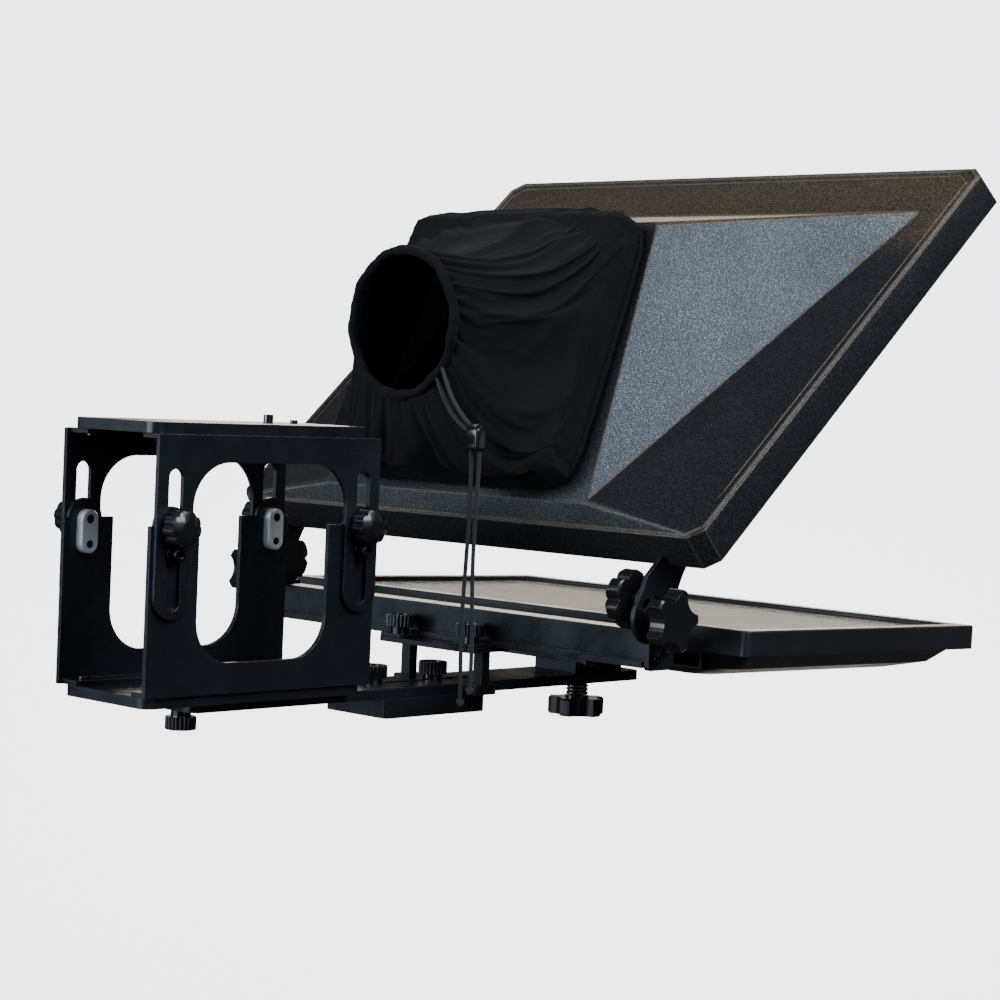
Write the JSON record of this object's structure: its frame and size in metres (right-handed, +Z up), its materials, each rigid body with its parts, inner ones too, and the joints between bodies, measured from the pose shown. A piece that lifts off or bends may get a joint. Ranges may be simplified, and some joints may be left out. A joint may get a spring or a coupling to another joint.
{
  "type": "teleprompter",
  "caption": "Through-glass teleprompter: sled rail, height-adjustable camera riser, flat monitor, tilting faceted hood with beam splitter and cloth shroud.",
  "frame": {"origin": "centre of the 3/8 in tripod thread at the bottom face of the tripod block", "axes": "+Z up, +Y towards the talent along the lens, +X to the operator's right"},
  "size_m": [0.4698, 0.6159, 0.4089],
  "materials": {
    "anodised_black": "satin black anodised",
    "bare_aluminium": "machined",
    "bezel_plastic": "fine texture",
    "black_chrome": "black chrome",
    "board": "solder mask",
    "cloth": "matt black cloth",
    "cord": "woven cord",
    "cover_plastic": "gloss",
    "fastener_steel": "black oxide",
    "frame_black": "matt black",
    "glass": "part-mirrored",
    "hood_abs": "leather-grained, semi-gloss",
    "inlet_plastic": "matt",
    "knob_plastic": "gloss",
    "screen": "anti-glare",
    "soft_strip": "matt",
    "spring_steel": "satin"
  },
  "bodies": {
    "base": {"tripod_block": "anodised_black"},
    "rail": {"main_rail": "anodised_black", "support_bracket": "anodised_black", "support_screws": "fastener_steel", "cross_channel": "anodised_black", "channel_end_blocks": "anodised_black", "end_ear_left": "anodised_black", "end_ear_right": "anodised_black", "end_ear_screws": "fastener_steel", "monitor_bezel": "bezel_plastic", "lcd_panel": "screen", "monitor_back_cover": "cover_plastic", "power_inlet": "inlet_plastic", "circuit_boards": "board", "monitor_mount_plate": "anodised_black", "mount_screws": "fastener_steel", "mount_spacer": "anodised_black", "mount_knob_spring": "spring_steel", "pivot_bolts": "fastener_steel", "tilt_lock_nuts": "fastener_steel", "riser_clamp_nut": "fastener_steel"},
    "riser_base": {"riser_bottom_plate": "anodised_black", "lower_bracket_left": "anodised_black", "lower_bracket_right": "anodised_black", "lower_bracket_screws": "fastener_steel", "riser_nut_plates": "bare_aluminium", "riser_bushings": "fastener_steel", "riser_cap_screws": "fastener_steel", "riser_guide_pin": "fastener_steel"},
    "riser_head": {"riser_top_plate": "anodised_black", "upper_bracket_left": "anodised_black", "upper_bracket_right": "anodised_black", "upper_bracket_screws": "fastener_steel"},
    "camera_slide": {"camera_slide_strip": "anodised_black"},
    "hood": {"hood_shell": "hood_abs", "beam_splitter_glass": "glass", "glass_frame": "frame_black", "glass_edge_strip": "soft_strip", "glass_clips": "frame_black", "hood_bracket_left": "anodised_black", "hood_bracket_right": "anodised_black", "hood_bracket_screws": "fastener_steel", "shroud": "cloth", "drawcord": "cord"},
    "rail_screw_rear_body": {"rail_screw_rear": "black_chrome"},
    "rail_screw_front_body": {"rail_screw_front": "black_chrome"},
    "riser_clamp_screw_body": {"riser_clamp_screw": "black_chrome"},
    "mount_star_knob_body": {"mount_star_knob": "knob_plastic"},
    "channel_screw_left_body": {"channel_screw_left": "black_chrome"},
    "pivot_star_knob_left_body": {"pivot_star_knob_left": "knob_plastic"},
    "tilt_lock_knob_left_body": {"tilt_lock_knob_left": "knob_plastic"},
    "riser_knob_rear_left_body": {"riser_knob_rear_left": "knob_plastic"},
    "riser_knob_front_left_body": {"riser_knob_front_left": "knob_plastic"},
    "channel_screw_right_body": {"channel_screw_right": "black_chrome"},
    "pivot_star_knob_right_body": {"pivot_star_knob_right": "knob_plastic"},
    "tilt_lock_knob_right_body": {"tilt_lock_knob_right": "knob_plastic"},
    "riser_knob_rear_right_body": {"riser_knob_rear_right": "knob_plastic"},
    "riser_knob_front_right_body": {"riser_knob_front_right": "knob_plastic"},
    "camera_screw_body": {"camera_screw": "black_chrome"},
    "camera_locating_pin_body": {"camera_locating_pin": "black_chrome"}
  },
  "joints": [
    {"name": "balance_slide", "type": "slide", "parent": "base", "child": "rail", "axis": [0, 1, 0], "range_m": [-0.04, 0.015]},
    {"name": "riser_slide", "type": "slide", "parent": "rail", "child": "riser_base", "axis": [0, 1, 0], "range_m": [-0.024, 0.015]},
    {"name": "riser_height", "type": "slide", "parent": "riser_base", "child": "riser_head", "axis": [0, 0, 1], "range_m": [-0.03, 0.029]},
    {"name": "camera_fore_aft", "type": "slide", "parent": "riser_head", "child": "camera_slide", "axis": [0, 1, 0], "range_m": [-0.05, 0.018]},
    {"name": "hood_tilt", "type": "hinge", "parent": "rail", "child": "hood", "pos_m": [0, 0.03, 0.08], "axis": [1, 0, 0], "range_deg": [-40, 8]},
    {"name": "rail_screw_rear_turn", "type": "hinge", "parent": "base", "child": "rail_screw_rear_body", "pos_m": [0, -0.036, 0.02], "axis": [0, 0, 1], "continuous": true},
    {"name": "rail_screw_front_turn", "type": "hinge", "parent": "base", "child": "rail_screw_front_body", "pos_m": [0, 0.021, 0.02], "axis": [0, 0, 1], "continuous": true},
    {"name": "riser_clamp_turn", "type": "hinge", "parent": "rail", "child": "riser_clamp_screw_body", "pos_m": [0, -0.201, 0.01295], "axis": [0, 0, 1], "continuous": true},
    {"name": "mount_knob_turn", "type": "hinge", "parent": "rail", "child": "mount_star_knob_body", "pos_m": [0, 0.171, -0.0135], "axis": [0, 0, 1], "continuous": true},
    {"name": "channel_screw_left_turn", "type": "hinge", "parent": "rail", "child": "channel_screw_left_body", "pos_m": [-0.035, 0.021, 0.0491], "axis": [0, 0, 1], "continuous": true},
    {"name": "pivot_knob_left_turn", "type": "hinge", "parent": "rail", "child": "pivot_star_knob_left_body", "pos_m": [-0.1902, 0.03, 0.08], "axis": [1, 0, 0], "continuous": true},
    {"name": "tilt_lock_left_turn", "type": "hinge", "parent": "rail", "child": "tilt_lock_knob_left_body", "pos_m": [-0.1829, 0.03, 0.091], "axis": [1, 0, 0], "continuous": true},
    {"name": "riser_knob_rear_left_turn", "type": "hinge", "parent": "riser_base", "child": "riser_knob_rear_left_body", "pos_m": [-0.04815, -0.25, 0.131], "axis": [1, 0, 0], "continuous": true},
    {"name": "riser_knob_front_left_turn", "type": "hinge", "parent": "riser_base", "child": "riser_knob_front_left_body", "pos_m": [-0.04815, -0.096, 0.131], "axis": [1, 0, 0], "continuous": true},
    {"name": "channel_screw_right_turn", "type": "hinge", "parent": "rail", "child": "channel_screw_right_body", "pos_m": [0.035, 0.021, 0.0491], "axis": [0, 0, 1], "continuous": true},
    {"name": "pivot_knob_right_turn", "type": "hinge", "parent": "rail", "child": "pivot_star_knob_right_body", "pos_m": [0.1902, 0.03, 0.08], "axis": [1, 0, 0], "continuous": true},
    {"name": "tilt_lock_right_turn", "type": "hinge", "parent": "rail", "child": "tilt_lock_knob_right_body", "pos_m": [0.1829, 0.03, 0.091], "axis": [1, 0, 0], "continuous": true},
    {"name": "riser_knob_rear_right_turn", "type": "hinge", "parent": "riser_base", "child": "riser_knob_rear_right_body", "pos_m": [0.04815, -0.25, 0.131], "axis": [1, 0, 0], "continuous": true},
    {"name": "riser_knob_front_right_turn", "type": "hinge", "parent": "riser_base", "child": "riser_knob_front_right_body", "pos_m": [0.04815, -0.096, 0.131], "axis": [1, 0, 0], "continuous": true},
    {"name": "camera_screw_turn", "type": "hinge", "parent": "camera_slide", "child": "camera_screw_body", "pos_m": [0, -0.138, 0.184], "axis": [0, 0, 1], "continuous": true},
    {"name": "camera_pin_turn", "type": "hinge", "parent": "camera_slide", "child": "camera_locating_pin_body", "pos_m": [0, -0.116, 0.184], "axis": [0, 0, 1], "continuous": true}
  ]
}
